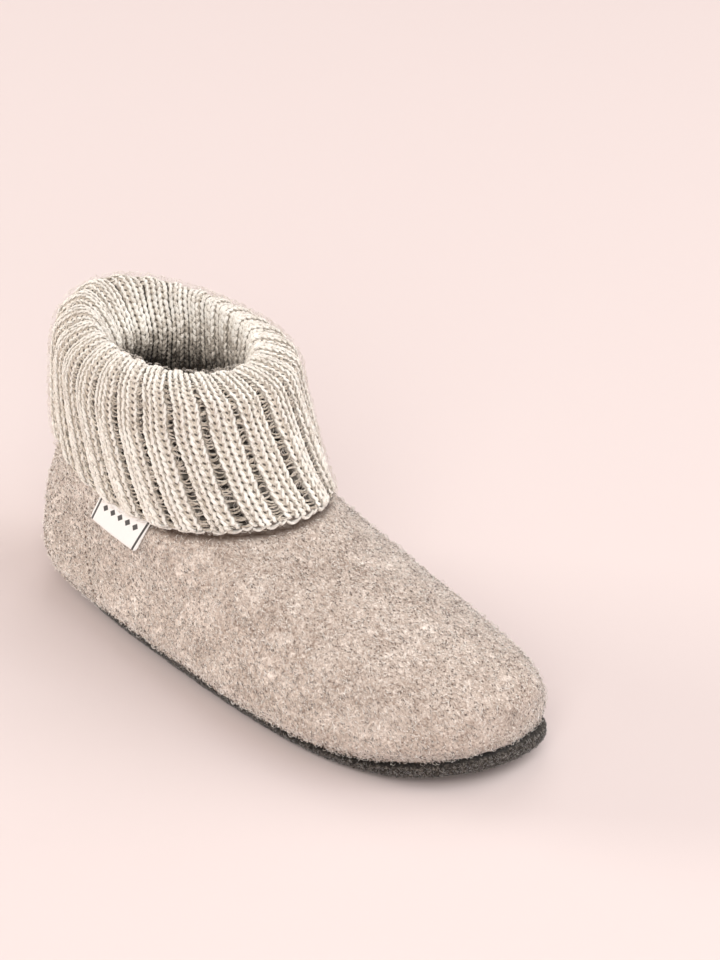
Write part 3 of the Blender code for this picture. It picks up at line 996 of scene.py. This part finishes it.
def purl_bars(plan, yarn):
    """The purl bumps that show as sunk crescents in the gaps between the ribs."""
    rib, bar = np.meshgrid(np.arange(RIBS), np.arange(0, COURSES, BAR_STEP), indexing="ij")
    rib, bar = (a.ravel()[:, None] for a in (rib, bar))
    middle = (bar + 0.5) / COURSES
    kept = (plan.gap(rib, middle)[1] * plan.face.pitch(middle))[:, 0] > NARROWEST_GAP
    rib, bar = rib[kept], bar[kept]
    t = np.linspace(-1, 1, BAR_POINTS)[None]
    bow = 1 - t * t
    sag = rng.uniform(*BAR_SAG, rib.shape) * rng.choice((1, 1, -1), rib.shape)
    tilt = rng.normal(0, BAR_TILT, rib.shape)
    along = (bar + BAR_START + rng.normal(0, BAR_SLIP, rib.shape) - sag * bow + tilt * t) / COURSES
    middle, width = plan.gap(rib, along)
    around = middle + t * (width / 2 + BAR_OVERLAP / plan.face.pitch(along))
    lift = BAR_BOW * bow - BAR_DEPTH + rng.normal(0, BAR_STRAY, rib.shape)
    lines, ups = plan.face.at(around / RIBS, along, lift)
    radii = BAR_RADIUS * MM * (BAR_ENDS + (1 - BAR_ENDS) * bow) * rng.normal(1, BAR_UNEVENNESS, rib.shape)
    piece = strands("knit_purl_bars", lines, ups, radii, rng.random(len(rib)), 4)
    return finish_piece(piece, "rib_knit", yarn)


def cast_off_edge(plan, yarn):
    """The loops that hang along the hem: one under each wale and one across each gap."""
    rib = np.arange(RIBS)
    start, end = plan.edges(rib, np.zeros(RIBS))
    beyond = plan.edges(rib + 1, np.zeros(RIBS))[0]
    bounds = np.stack([start, (start + end) / 2, end, beyond], axis=1)
    left = bounds[:, :-1].reshape(-1, 1)
    right = bounds[:, 1:].reshape(-1, 1)
    t = np.linspace(-1, 1, EDGE_POINTS)[None]
    bow = 1 - t * t
    around = (left + right) / 2 + t * (right - left) * EDGE_REACH
    slip = rng.normal(0, EDGE_SLIP, left.shape) + rng.normal(0, EDGE_SLIP, left.shape) * t
    along = (EDGE_START - EDGE_HANG * bow + slip) / COURSES
    sunk = np.tile((0.0, 0.0, EDGE_SUNK), RIBS)[:, None]
    lines, ups = plan.face.at(around / RIBS, along, -EDGE_DEPTH * (1 - bow) - sunk)
    radii = EDGE_RADIUS * MM * (YARN_ENDS + (1 - YARN_ENDS) * bow)
    radii = radii * rng.normal(1, EDGE_UNEVENNESS, left.shape)
    tones = 0.5 + 0.5 * rng.random(len(left))
    piece = strands("knit_cast_off_edge", lines, ups, radii, tones, 8)
    return finish_piece(piece, "rib_knit", yarn)


def there_and_back(outer, inner):
    """Columns that run up the outer side of a shell and back down its inner side."""
    return np.concatenate([outer, inner[:, ::-1]], axis=1)


def knit_ground(plan, yarn):
    """The fabric behind the stitches, as a closed shell, higher under the ribs than in the gaps."""
    rib, along = np.meshgrid(np.arange(RIBS), np.linspace(GROUND_START, 1, GROUND_ROWS), indexing="ij")
    start, end = plan.edges(rib, along)
    beyond = plan.edges(rib + 1, along)[0]
    columns = [(start + (end - start) * s, GROUND_DEPTH + RIB_CROWN * (2 * s - 1) ** 2) for s in RIB_COLUMNS]
    columns += [(end + (beyond - end) * s, GAP_DEPTH) for s in GAP_COLUMNS]
    around = np.stack([place for place, _ in columns], axis=1).reshape(-1, GROUND_ROWS) / RIBS
    depth = np.tile([deep for _, deep in columns], RIBS)[:, None] * np.ones((1, GROUND_ROWS))
    along = np.repeat(along, len(columns), axis=0)
    outer, _ = plan.face.at(around, along, -depth)
    inner, _ = plan.face.at(around, along, np.full(around.shape, -GROUND_BACK))
    shell = there_and_back(outer, inner)
    turns, tall = shell.shape[:2]
    i, j = np.meshgrid(np.arange(turns), np.arange(tall), indexing="ij")
    right, up = (i + 1) % turns, (j + 1) % tall
    quads = np.stack([i * tall + j, right * tall + j, right * tall + up, i * tall + up], axis=-1)
    strand = np.tile([RIB_STRANDS * s for s in RIB_COLUMNS] + list(STRAND_COLUMNS), RIBS)
    near = strand[i]
    far = strand[right] + RIB_STRANDS * (right % len(columns) == 0)
    course = along * COURSES - np.repeat(plan.offset, len(columns))[:, None] + 0.5
    course = there_and_back(course, course)
    corners = ((near, course[i, j]), (far, course[right, j]), (far, course[right, up]), (near, course[i, up]))
    uvs = np.stack([value for corner in corners for value in corner], axis=-1)
    # painted shade: the fabric darker in the gaps and towards the inside
    tones = np.tile([1.0] * len(RIB_COLUMNS) + [PAINTED_GAP_TONE] * len(GAP_COLUMNS), RIBS)[:, None]
    tones = tones * (1 - GROUND_PAINTED_SHADE * painted_shade_inside(along * COURSES))
    tones = there_and_back(tones, tones)
    piece = wool_mesh("knit_ground", shell, quads.reshape(-1, 4).tolist(), "stitches", uvs, tones)
    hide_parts("cuff")
    return finish_piece(piece, "rib_knit", yarn)


def knit_fuzz(face):
    """Fine hairs that stand off the yarn."""
    around = rng.random(KNIT_FIBRES)
    along = rng.random(KNIT_FIBRES) * FUZZ_TOP
    roots, ups = face.at(around, along, np.full(KNIT_FIBRES, -FUZZ_DEPTH))
    fuzz = curled_fibres("knit_fuzz", roots, ups, **YARN_HAIR)
    fibre = wool_fibre("yarn_hair", [(0.0, "#c9b9aa"), (1.0, "#fbf5ec")])
    finish_piece(fuzz, "rib_knit", fibre)


def knitted_cuff(face):
    """The whole turned-over cuff."""
    plan = RibPlan(face)
    # the cream yarn's darkest stops are reached only under the painted shade deep inside
    cream = rib_yarn(
        "cream_yarn", [(0.0, "#3a322a"), (0.85, "#fbfaf4"), (0.40, "#c8c0b4"), (0.57, "#faf6ed")],
    )
    # painted shade: a darker copy of the cream yarn for the sunk purl bars
    shaded = rib_yarn("painted_shade_yarn", [(0.40, "#95897a"), (0.85, "#f3ece0"), (0.58, "#d3c8b8")])
    for name, first, last in PIECE_COURSES:
        knit_legs(plan, name, first, last, cream)
    purl_bars(plan, shaded)
    cast_off_edge(plan, cream)
    knit_ground(plan, knit_backs())
    knit_fuzz(face)


def soft_light(name, place, aim, size, power, tint):
    """A square softbox that faces a point."""
    lamp = bpy.data.lights.new(name, "AREA")
    lamp.shape = "SQUARE"
    lamp.size = size
    lamp.energy = power
    lamp.color = colour(tint)[:3]
    holder = bpy.data.objects.new(name, lamp)
    holder.location = place
    holder.rotation_euler = (Vector(aim) - Vector(place)).to_track_quat("-Z", "Y").to_euler()
    bpy.context.collection.objects.link(holder)


def studio():
    """Pale paper floor, softboxes beyond the toe and round the boot, and an even fill."""
    bpy.ops.object.select_all(action="DESELECT")
    bpy.ops.mesh.primitive_plane_add(size=FLOOR_SIDE, location=(0, 0, 0))
    floor = bpy.context.object
    floor.name = "floor"
    floor.data.materials.append(studio_paper())
    for softbox in SOFTBOXES:
        soft_light(*softbox)
    world = bpy.data.worlds.new("studio_fill")
    world.use_nodes = True
    shade = world.node_tree.nodes["Background"]
    shade.inputs["Color"].default_value = colour(FILL_TINT)
    shade.inputs["Strength"].default_value = FILL_STRENGTH
    bpy.context.scene.world = world
    bpy.context.scene.view_settings.view_transform = "Standard"


def camera():
    """The camera at the photo's angle, placed so that AIM shows at AIM_PIXEL."""
    turn, rise = math.radians(CAMERA_TURN), math.radians(CAMERA_RISE)
    back = Vector((math.sin(turn) * math.cos(rise), -math.cos(turn) * math.cos(rise), math.sin(rise)))
    right = Vector((math.cos(turn), math.sin(turn), 0))
    up = back.cross(right)
    scale = CAMERA_DISTANCE / FOCAL_PIXELS
    place = AIM + back * CAMERA_DISTANCE
    place -= right * (AIM_PIXEL[0] - PICTURE[0] / 2) * scale
    place += up * (AIM_PIXEL[1] - PICTURE[1] / 2) * scale
    lens = bpy.data.cameras.new("camera")
    lens.sensor_fit = "HORIZONTAL"
    lens.sensor_width = SENSOR_WIDTH
    lens.lens = FOCAL_PIXELS * SENSOR_WIDTH / PICTURE[0]
    holder = bpy.data.objects.new("camera", lens)
    holder.matrix_world = Matrix((right, up, back)).transposed().to_4x4()
    holder.location = place
    bpy.context.collection.objects.link(holder)
    bpy.context.scene.camera = holder


cuff_face = CuffFace()
hem = hem_line(cuff_face)
upper = felt_upper(hem)
felt_nap(upper, hem)
heel_seam(upper)
sole_nap(felt_sole())
felt_insole()
ribbon_label()
knitted_cuff(cuff_face)
studio()
camera()
